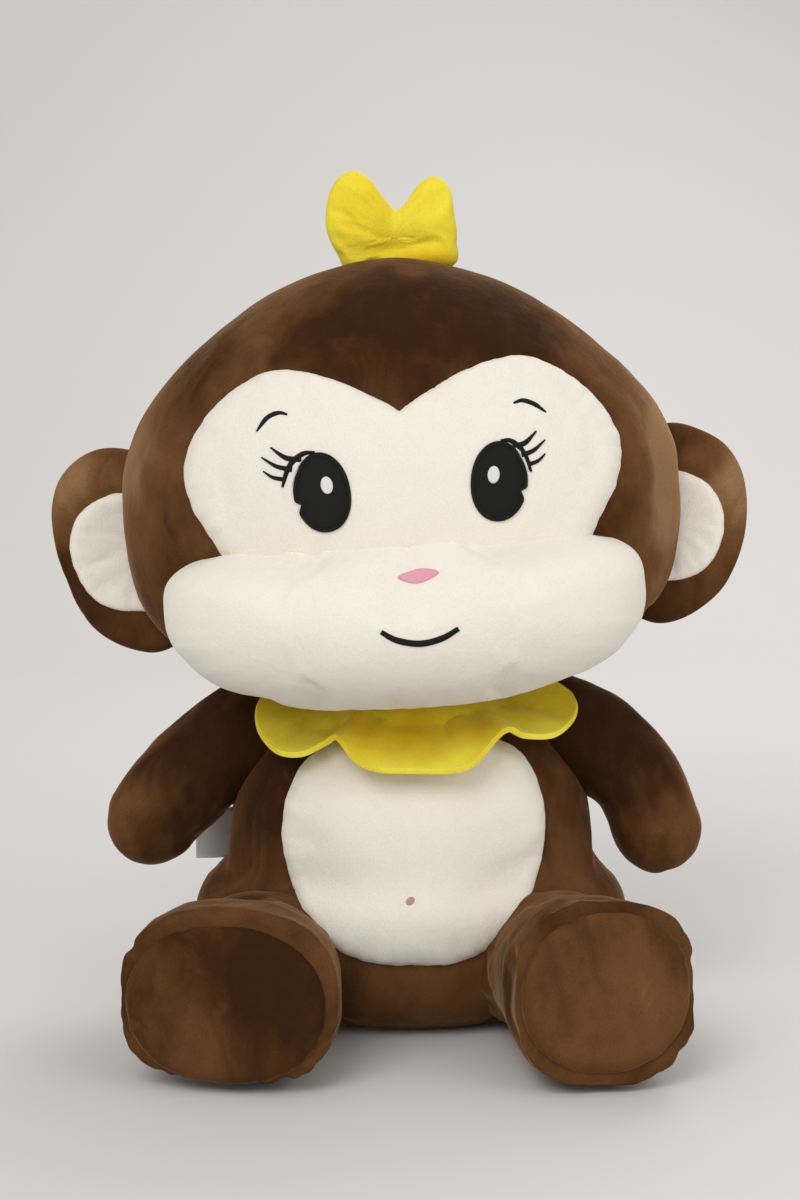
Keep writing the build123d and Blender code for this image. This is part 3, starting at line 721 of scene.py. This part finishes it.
def eye_pieces(side, sign, face):
    """One eye's thread, glint, lashes, lid line and brow."""
    centre = np.array([5.0 + sign * 39.3, -0.7])
    near = 1.0 if sign < 0 else 0.83

    def at(dx, dz, pull=1.0):
        return (centre[0] + sign * dx * pull, centre[1] + dz)

    shape = oval(centre, 12.8, 18.1, 160, lean=-sign * 7.0, power=2.12)
    away = np.linalg.norm(shape - np.array(at(12.4, -6.6)), axis=1)
    inward = centre - shape
    inward /= np.linalg.norm(inward, axis=1)[:, None]
    shape = shape + inward * (3.4 * np.clip(1 - away / 3.0, 0, 1) ** 0.8)[:, None]
    lidded = np.linalg.norm(shape - np.array(at(9.6, 10.6)), axis=1)
    shape = shape + inward * (1.5 * np.clip(1 - lidded / 10.0, 0, 1))[:, None]
    eye = patch(f"{side}_eye_thread", shape, face, black_thread, 0.9, 14, 1.2, 0.5, head_to_world)
    eye_skin = Skin(*surface_of(eye))
    inner = centre + (np.concatenate([shape, shape[:1]]) - centre) * 0.93
    rim = stroke(f"{side}_eye_rim", inner[::2], [1.9], eye_skin, black_thread, 0.5, head_to_world, 200)
    glint = patch(f"{side}_glint_thread", oval(at(-2.4, 3.2), 2.8, 4.0, 40, lean=-sign * 7.0), eye_skin,
                  white_thread, 0.55, 6, 0.8, 0.3, head_to_world)
    white = stroke(f"{side}_eye_white", [at(8.2, 14.2), at(11.4, 9.8), at(13.2, 3.4)], [0.5, 2.0, 0.5], face,
                   white_thread, 0.4, head_to_world, 24)
    lines = {
        "lash_0": ([(8.2, 15.2), (15.0, 16.0), (21.6, 20.8)], [2.7, 2.3, 0.8]),
        "lash_1": ([(12.6, 10.8), (19.4, 12.4), (26.0, 16.6)], [2.5, 1.9, 0.7]),
        "lash_2": ([(15.6, 6.4), (21.4, 7.6), (25.6, 10.5)], [2.2, 1.7, 0.7]),
        "lid": ([(2.0, 17.8), (7.0, 17.6), (12.0, 14.4), (15.2, 9.6), (17.4, 3.2)], [1.2, 2.4, 2.6, 2.4, 1.2]),
    }
    lashes = [stroke(f"{side}_{name}", [at(*p, near) for p in path], widths, face, black_thread, 0.75,
                     head_to_world, 36) for name, (path, widths) in lines.items()]
    brow_path = [(13.4, 35.0), (17.5, 35.9), (22.8, 33.8), (27.6, 28.2 if sign < 0 else 30.0)]
    brow = stroke(f"{side}_brow_thread", [at(x - 28 * (1 - near), z - 7 * (1 - near)) for x, z in brow_path],
                  [1.0, 2.3, 2.3, 0.8], face, black_thread, 0.75, head_to_world, 40)
    settle(join(f"{side}_eye_thread", [eye, rim]), "head", (f"{side}_eye",))
    settle(join(f"{side}_glint_thread", [glint, white]), "head", (f"{side}_eye_glint",))
    settle(join(f"{side}_lash_thread", lashes), "head", (f"{side}_eyelashes",))
    settle(brow, "head", (f"{side}_eyebrow",))


def build_head():
    """The head with its face panel, muzzle and embroidery."""
    points, quads = head_skin()
    # Spots: painted highlights on the head's sides where grazing light catches the pile, and darker and lighter
    # patches on the crown.
    brushed = [((-10, -60, 330), 66, -0.3), ((40, -55, 325), 40, -0.12), ((-100, -45, 305), 40, -0.1),
               ((-142, -25, 262), 66, 0.75), ((134, -25, 275), 66, 0.75), ((134, -30, 225), 55, 0.5),
               ((-75, -40, 335), 24, 0.3), ((2, -40, 356), 14, 0.3)]
    head = mesh_object("head_plush", points, quads, brown("head_brown", 0.3, spots=brushed))
    skin = Skin(points, quads)
    face = patch("face_plush", heart_outline(320), skin, cream("face_cream", 2.2), 1.4, 40, 4.0, 0.9, head_to_world,
                 wave=0.8)
    face_surface = Skin(*surface_of(face))
    for side, sign in SIDES.items():
        eye_pieces(side, sign, face_surface)
    muzzle_points, muzzle_quads = muzzle_skin()
    muzzle = mesh_object("muzzle_plush", muzzle_points, muzzle_quads, cream("muzzle_cream", 7.2))
    muzzle_surface = Skin(muzzle_points, muzzle_quads)
    nose_outline = smooth_loop([(-3.4, -39.0), (1.5, -36.8), (8, -35.6), (15.3, -37.4), (11, -40.4), (4, -41.8)], 60)
    nose = patch("nose_thread", nose_outline, muzzle_surface, pink_thread, 0.7, 8, 1.0, 0.4, head_to_world)
    mouth_path = [(-11.6, -60.8), (-5, -64.8), (4.8, -66.9), (14.5, -65.2), (22.0, -61.4)]
    mouth = stroke("mouth_thread", mouth_path, [2.2, 2.9, 3.0, 2.9, 2.2], muzzle_surface, black_thread, 0.9,
                   head_to_world, 70)
    settle(head, "head", ("head_shell", "head_stuffing"))
    settle(face, "head", ("face_panel",))
    settle(muzzle, "head", ("muzzle_shell", "muzzle_stuffing"))
    settle(nose, "head", ("nose_embroidery",))
    settle(mouth, "head", ("mouth_embroidery",))


# ---- ears and tuft
EAR_EDGES = {
    "left": [(118, 14), (132.5, 17), (146, 12.5), (157.5, 4.5), (165, -8.5), (167.5, -24), (165.5, -40), (160, -55),
             (150, -69), (134, -79.5), (116, -80), (100, -66), (94, -30), (102, 2)],
    "right": [(-122, 17), (-139, 21), (-153.5, 17.5), (-164, 8), (-169, -8), (-168.8, -25), (-165.5, -40),
              (-160.5, -55), (-150, -70), (-134, -79), (-118, -80), (-101, -66), (-95, -30), (-104, 4)],
}
EAR_LININGS = {
    "left": [(143, -10.5), (151.5, -19), (155, -33), (151, -47.5), (142, -57), (128, -60), (112, -56), (104, -34),
             (112, -10), (130, -6)],
    "right": [(-147, -4.5), (-156.5, -12), (-161, -26), (-158, -41), (-149.5, -53.5), (-134, -59), (-116, -56),
              (-106, -32), (-114, -8), (-133, -1)],
}


def pillow(outline, centre, middle, half_depth, front):
    """A pillow inside an outline: points and faces. front(flat) is how far its front is pushed in."""
    rings, around = 20, len(outline)
    points = []
    for face in (-1, 1):
        for share in np.linspace(0.04, 1, rings)[:: -face][(face > 0):]:
            flat = centre + (outline - centre) * share
            thick = half_depth * (1 - share**3.0) ** 0.55
            dish = front(flat) * (face < 0) * (1 - share**6)
            points.append(np.stack([flat[:, 0], middle + face * (thick - dish), flat[:, 1]], axis=1))
    points = np.concatenate(points)
    return points, outward(points, capped_tube(2 * rings - 1, around))


def build_ear(side, sign):
    """One padded ear with a dished cream lining."""
    outline = smooth_loop(EAR_EDGES[side], 84)
    middle = np.array([sign * 124.0, -30.0])

    def dish(flat):
        return 5.5 * np.exp(-(np.hypot((flat[:, 0] - sign * 133) / 27, (flat[:, 1] + 33) / 29) ** 4))

    points, faces = pillow(outline, middle, 12.0, 11.0, dish)
    lining = smooth_loop(EAR_LININGS[side], 110)
    edge, _ = near_curve(points[:, [0, 2]], lining)
    held = np.maximum(dent(edge, 3.0), np.abs(points[:, 1] - 12) < 1.0).astype(float)
    points, quads = stuffed(points, faces, held, slack=0.02, cap=1.5)
    edge, which = near_curve(points[:, [0, 2]], lining)
    amounts = -1.2 * dent(edge, 2.6) * (points[:, 1] < 14) + 0.7 * lumps(points, 20.0, 1.1 + sign)
    amounts += puckers(edge, which, 1.6, 7.0, 0.9, 2.0 + sign) * (points[:, 1] < 14)
    world = push(head_to_world(points), quads, amounts)
    # The spot at the ear's outer edge is a painted highlight where grazing light catches the pile.
    ear = mesh_object(f"{side}_ear_plush", world, quads,
                      brown(f"{side}_ear_brown", 6.3 + sign, spots=[((sign * 172, 0, 258), 50, 0.8)]))
    inside = patch(f"{side}_ear_lining_plush", lining, Skin(world, quads), cream(f"{side}_ear_cream", 9.0 + sign),
                   1.1, 16, 3.0, 0.8, head_to_world, wave=0.6)
    settle(ear, f"{side}_ear", (f"{side}_ear_shell", f"{side}_ear_stuffing"))
    settle(inside, f"{side}_ear", (f"{side}_ear_lining",))


def build_tuft():
    """The two-lobed tuft, a small pillow with a fold across its foot."""
    outline = smooth_loop([(-17, 96), (-23.5, 105), (-28, 117), (-27, 130), (-21.5, 141), (-14, 144.6), (-6.5, 141),
                           (0, 132.5), (5.5, 124.8), (11.5, 129.0), (18, 136.5), (26.5, 139.6), (32.8, 133),
                           (34.6, 118), (34.8, 108), (32, 97), (8, 94)], 120)

    def fold(flat):
        lean = flat[:, 1] - 107 - 0.10 * (flat[:, 0] - 9)
        return 6.0 * np.exp(-(((flat[:, 0] - 9) / 19) ** 4) - (lean / 5.0) ** 2)

    points, faces = pillow(outline, np.array([4.0, 111.0]), 4.0, 11.0, fold)
    held = (np.abs(points[:, 1] - 4) < 1.0).astype(float)
    points, quads = stuffed(points, faces, held, slack=0.02, cap=1.5)
    world = push(head_to_world(points), quads, 0.6 * lumps(points, 15.0, 2.4))
    shade = [((2, -10, 358), 13, -0.4), ((14, -10, 359), 13, -0.4)]
    tuft = mesh_object("tuft_plush", world, quads, yellow("tuft_yellow", 1.3, shade))
    settle(tuft, "tuft", ("tuft_shell", "tuft_stuffing"))


# ---- arms and legs
ARMS = {    # places down the middle of the arm, then half-widths at even steps along it
    "left": ([(71, 2, 138), (92, 0, 126), (109, -5, 109), (119, -9, 88)], [24, 25, 23.5, 22.5, 22]),
    "right": ([(-71, 2, 138), (-90, 0, 124), (-107, -5, 109), (-121, -9, 93.5)], [24, 25, 24.5, 23.5, 22.5]),
}
ARM_TIPS = {"left": 21.5, "right": 24.0}
LEGS = {    # sole centre, half-widths and half-heights at even steps from hip to sole
    "left": ((84.5, -147, 43.5), [38, 34, 36, 40.5, 41.5], [32, 30, 33.5, 39, 40]),
    "right": ((-78, -147, 41), [38, 35, 39, 46, 48.5], [32, 30, 33, 38, 39]),
}
SOLES = {"left": (37.0, 34.5, 84.5, 44.0), "right": (43.5, 34.5, -78.5, 38.5)}   # half-sizes and middle


def ring_frames(path):
    """For each point of a path: its direction, sideways and upwards."""
    along = np.gradient(path, axis=0)
    along /= np.linalg.norm(along, axis=1)[:, None]
    side = np.cross(along, [0, 0, 1])
    side /= np.linalg.norm(side, axis=1)[:, None]
    return along, side, np.cross(side, along)


def limb_rings(path, half_widths, half_heights, root_cap, end_cap, around, power=2.0):
    """Rings round a path with rounded ends, each of some length, as points."""
    along, side, up = ring_frames(path)
    rows = [(path[0] - along[0] * root_cap * math.cos(t), 0, math.sin(t)) for t in np.linspace(0.06, 1.4, 9)]
    rows += [(spot, i, 1.0) for i, spot in enumerate(path)]
    last = len(path) - 1
    if end_cap:
        turns = np.linspace(0.15, 1.51, 10)
        rows += [(path[last] + along[last] * end_cap * math.sin(t), last, math.cos(t)) for t in turns]
    angles = np.linspace(0, 2 * math.pi, around, endpoint=False)
    c, s = np.cos(angles), -np.sin(angles)
    c, s = np.sign(c) * np.abs(c) ** (2 / power), np.sign(s) * np.abs(s) ** (2 / power)
    points = []
    for middle, i, scale in rows:
        across, upright = half_widths[i] * scale * c, half_heights[i] * scale * s
        points.append(middle + side[i] * across[:, None] + up[i] * upright[:, None])
    return np.concatenate(points), len(rows)


def build_arm(side, sign):
    """One arm: a round root in the shoulder and a fuller hand."""
    places, widths = ARMS[side]
    path = smooth_loop(places, 15, closed=False)
    half = np.interp(np.linspace(0, 1, 15), np.linspace(0, 1, len(widths)), widths) - 0.8
    around = 48
    points, rings = limb_rings(path, half, half, 23, ARM_TIPS[side], around)
    share = np.repeat(np.arange(rings) / (rings - 1), around)
    seam = np.tile(np.isin(np.arange(around), (0, around // 2)), rings)
    held = np.maximum(seam * 0.8, share < 0.3).astype(float)
    points, quads = stuffed(points, capped_tube(rings, around), held, slack=0.03, cap=2.0)
    reach = np.clip(np.linalg.norm(points - path[0], axis=1) / 40 - 0.4, 0, 1)
    amounts = (0.9 * lumps(points, 22.0, 2.0 + sign) + 0.45 * lumps(points, 9.0, 6.0)) * reach
    points = push(points, quads, amounts)
    # Spots: a painted highlight on the outer end of the hand, and painted shadow on the front of the upper arm under
    # the head.
    brushed = [(path[-1] + (sign * 20, -8, 4), 30, 0.3), (path[4] + (-sign * 6, -15, 0), 52, -0.45)]
    arm = mesh_object(f"{side}_arm_plush", points, quads, brown(f"{side}_arm_brown", 4.1 + sign, 20, brushed))
    settle(arm, f"{side}_arm", (f"{side}_arm_shell", f"{side}_arm_stuffing"))
    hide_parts(f"{side}_shoulder_stitching")


def sole_outline(side, samples):
    """The sole seam's oval, as X and Z on the foot's front."""
    half_width, half_height, x, z = SOLES[side]
    return oval((x, z), half_width, half_height, samples, power=2.15)


def build_leg(side, sign):
    """One leg: a round root, a boxy foot and a separate sole sewn into its end."""
    sole, widths, heights = LEGS[side]
    root = HINGES[f"{side}_leg_spread"] + np.array([0, 0, -2.0])
    count = 22
    path = root + np.linspace(0, 1, count)[:, None] * (np.array(sole) - root)
    steps = np.linspace(0, 1, len(widths))
    shares = np.linspace(0, 1, count)
    half_width, half_height = np.interp(shares, steps, widths) - 1, np.interp(shares, steps, heights) - 1
    around = 88
    points, rings = limb_rings(path, half_width, half_height, 33, 0, around, power=2.6)
    along, _, _ = ring_frames(path)
    rim = []
    for t, scale in ((4.0, 0.985), (7.0, 0.93), (8.4, 0.85), (8.6, 0.6), (8.6, 0.35), (8.6, 0.1)):
        middle = path[-1] + along[-1] * (t - 4.0)
        rim.append(middle + (points[-around:] - path[-1]) * scale)
    points = np.concatenate([points, *rim])
    rings += len(rim)
    row = np.repeat(np.arange(rings), around)
    edge, _ = near_curve(points[:, [0, 2]], sole_outline(side, 200))
    front = points[:, 1] < -120
    held = np.maximum((row < 10) | (row > rings - 5), dent(edge, 3.0) * front).astype(float)
    points, quads = stuffed(points, capped_tube(rings, around), held, slack=0.03, cap=2.5)
    edge, which = near_curve(points[:, [0, 2]], sole_outline(side, 300))
    front = points[:, 1] < -128
    reach = np.clip((root[1] - points[:, 1]) / 40, 0, 1)
    amounts = -1.8 * dent(edge, 3.2) * front
    uneven = np.clip(0.5 + lumps(points, 30.0, 6.0 + sign), 0, 1)
    amounts += puckers(edge, which, 0.8, 9.0, 1.9, 5.0 + sign) * uneven * (points[:, 1] < -118)
    amounts += (1.3 * lumps(points, 28.0, 3.0 + 2 * sign) + 0.4 * lumps(points, 11.0, 9.0)) * reach
    points = push(points, quads, amounts)
    points[:, 2] = np.maximum(points[:, 2], 0.3)
    # Painted shade on the thigh's inner side, between the leg and the body.
    inner_painted_shade = (path[14] + (-sign * 34, -8, 0), 40, -0.35)
    leg = mesh_object(f"{side}_leg_plush", points, quads, brown(f"{side}_leg_brown", 2.6 + sign, 15, [inner_painted_shade]))
    # Painted light and shade on the sole: darker above its middle towards the toy's left; lower down the left sole is
    # lighter and the right sole a little darker.
    painted_shade_upper = (np.array(sole) + (22, -8, 10), 46, -0.35) if sign < 0 else (np.array(sole) + (16, -8, 30), 26, -0.1)
    lower_painted_light_and_shade = (np.array(sole) + (0, -8, -8), 60, -0.1 if sign < 0 else 0.22)
    panel = patch(f"{side}_sole_plush", sole_outline(side, 200), Skin(points, quads),
                  brown(f"{side}_sole_brown", 8.2 + sign, 16, [painted_shade_upper, lower_painted_light_and_shade]), 2.6, 26, 7.0, 0.9, wave=0.9)
    settle(leg, f"{side}_leg", (f"{side}_leg_shell", f"{side}_leg_stuffing"))
    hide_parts(f"{side}_hip_stitching")
    settle(panel, f"{side}_leg", (f"{side}_sole_panel",))


# ---- care label
LABEL_LENGTH, LABEL_HEIGHT, LABEL_THICKNESS = 21, 25.0, 0.25


def build_label():
    """A blank folded ribbon sewn into the side seam."""
    root = HINGES["label_flap"] + np.array([2.5, 0, 0])
    turn = math.radians(188)
    steps, rows = 20, 14
    row = rows + 1
    points = []
    for layer in (-1, 1):
        for i in range(steps + 1):
            share = i / steps
            gap = (0.35 + 0.9 * math.sin(math.pi * share)) * layer * (1 - share**6)
            for j in range(row):
                height = LABEL_HEIGHT * (j / rows - 0.5)
                across = gap + 1.8 * math.sin(2.2 * share) + 0.7 * math.sin(0.16 * height + 2 * share)
                out = LABEL_LENGTH * share
                points.append(root + np.array([out * math.cos(turn) - across * math.sin(turn),
                                               out * math.sin(turn) + across * math.cos(turn), height]))
    faces = []
    for layer in (0, 1):
        base = layer * (steps + 1) * row
        for i in range(steps):
            for j in range(rows):
                a, b = base + i * row + j, base + (i + 1) * row + j
                faces.append([a, b, b + 1, a + 1][:: 1 if layer else -1])
    label = mesh_object("label_ribbon", points, faces, label_ribbon, closed=False)
    solid = label.modifiers.new("ribbon", "SOLIDIFY")
    solid.thickness = LABEL_THICKNESS * MM
    settle(label, "care_label", ("care_label",))


# ---- neck
def build_neck():
    """The short neck of gathered cloth between the head and the torso."""
    wrinkles = 0.9 * np.sin(14 * np.arctan2(TINY_BALL[:, 1], TINY_BALL[:, 0])) * (1 - np.abs(TINY_BALL[:, 2]))
    points = push(TINY_BALL * np.array([27.0, 26.0, 16.0]) + HINGES["head_turn"], TINY_QUADS, wrinkles)
    neck = mesh_object("neck_plush", *modified(points, TINY_QUADS, [finer]), brown("neck_brown", 5.5))
    settle(neck, "neck_band", ("neck_band", "neck_stuffing"))


# ---- stage, lights and camera
CAMERA_PLACE, CAMERA_PITCH, LENS = (-0.0037, -1.2, 0.330), 90 - 6.35, 75.5
LAMPS = {"key": ((-0.65, -1.8, 1.6), 1.2, 23), "fill": ((1.5, -1.4, 0.9), 1.4, 9), "rim": ((0.5, 1.3, 1.6), 1.2, 14)}
WORLD_STRENGTH = 0.55


def build_stage():
    """A plain pale floor that curves up behind, and soft studio lights."""
    bend = [(1.2 + 0.9 * math.sin(t), 0.9 * (1 - math.cos(t))) for t in np.linspace(0, math.pi / 2, 16)]
    rows = [(-3.0, 0.0), *bend, (2.1, 4.0)]
    points = [(x * 1000, y * 1000, z * 1000) for y, z in rows for x in (-4.0, 4.0)]
    faces = [[2 * i, 2 * i + 1, 2 * i + 3, 2 * i + 2] for i in range(len(rows) - 1)]
    material, shader, add = new_material("pale_floor", 0.8, specular=0.2)
    mottle = add("ShaderNodeTexNoise", {"Scale": 3.0, "Detail": 2.0}).outputs["Fac"]
    shade = mixed_colour(add, mottle, (0.68, 0.665, 0.65, 1), (0.73, 0.715, 0.70, 1))
    material.node_tree.links.new(shade, shader.inputs["Base Color"])
    mesh_object("floor", points, faces, material, closed=False)
    world = bpy.data.worlds.new("studio")
    world.use_nodes = True
    world.node_tree.nodes["Background"].inputs["Color"].default_value = (1.0, 0.99, 0.97, 1)
    world.node_tree.nodes["Background"].inputs["Strength"].default_value = WORLD_STRENGTH
    bpy.context.scene.world = world
    bpy.context.scene.view_settings.view_transform = "Standard"
    for name, values in LAMPS.items():
        lamp(name, *values)


def lamp(name, place, size, power):
    """A soft square light aimed at the toy."""
    light = bpy.data.lights.new(name, "AREA")
    light.size = size
    light.energy = power
    thing = bpy.data.objects.new(name, light)
    thing.location = place
    thing.rotation_euler = (Vector((0, 0, 0.2)) - Vector(place)).to_track_quat("-Z", "Y").to_euler()
    bpy.context.scene.collection.objects.link(thing)


def build_camera():
    """The camera straight ahead of the toy and a little above its middle."""
    camera = bpy.data.cameras.new("camera")
    camera.lens = LENS
    camera.sensor_width = 36
    thing = bpy.data.objects.new("camera", camera)
    thing.location = CAMERA_PLACE
    thing.rotation_euler = (math.radians(CAMERA_PITCH), 0, 0)
    bpy.context.scene.collection.objects.link(thing)
    bpy.context.scene.camera = thing


build_camera()
build_stage()
chest_points, chest_quads = torso_skin()
build_torso(chest_points, chest_quads)
build_collar(Skin(chest_points, chest_quads))
build_neck()
build_head()
build_tuft()
for side, sign in SIDES.items():
    build_ear(side, sign)
    build_arm(side, sign)
    build_leg(side, sign)
build_label()
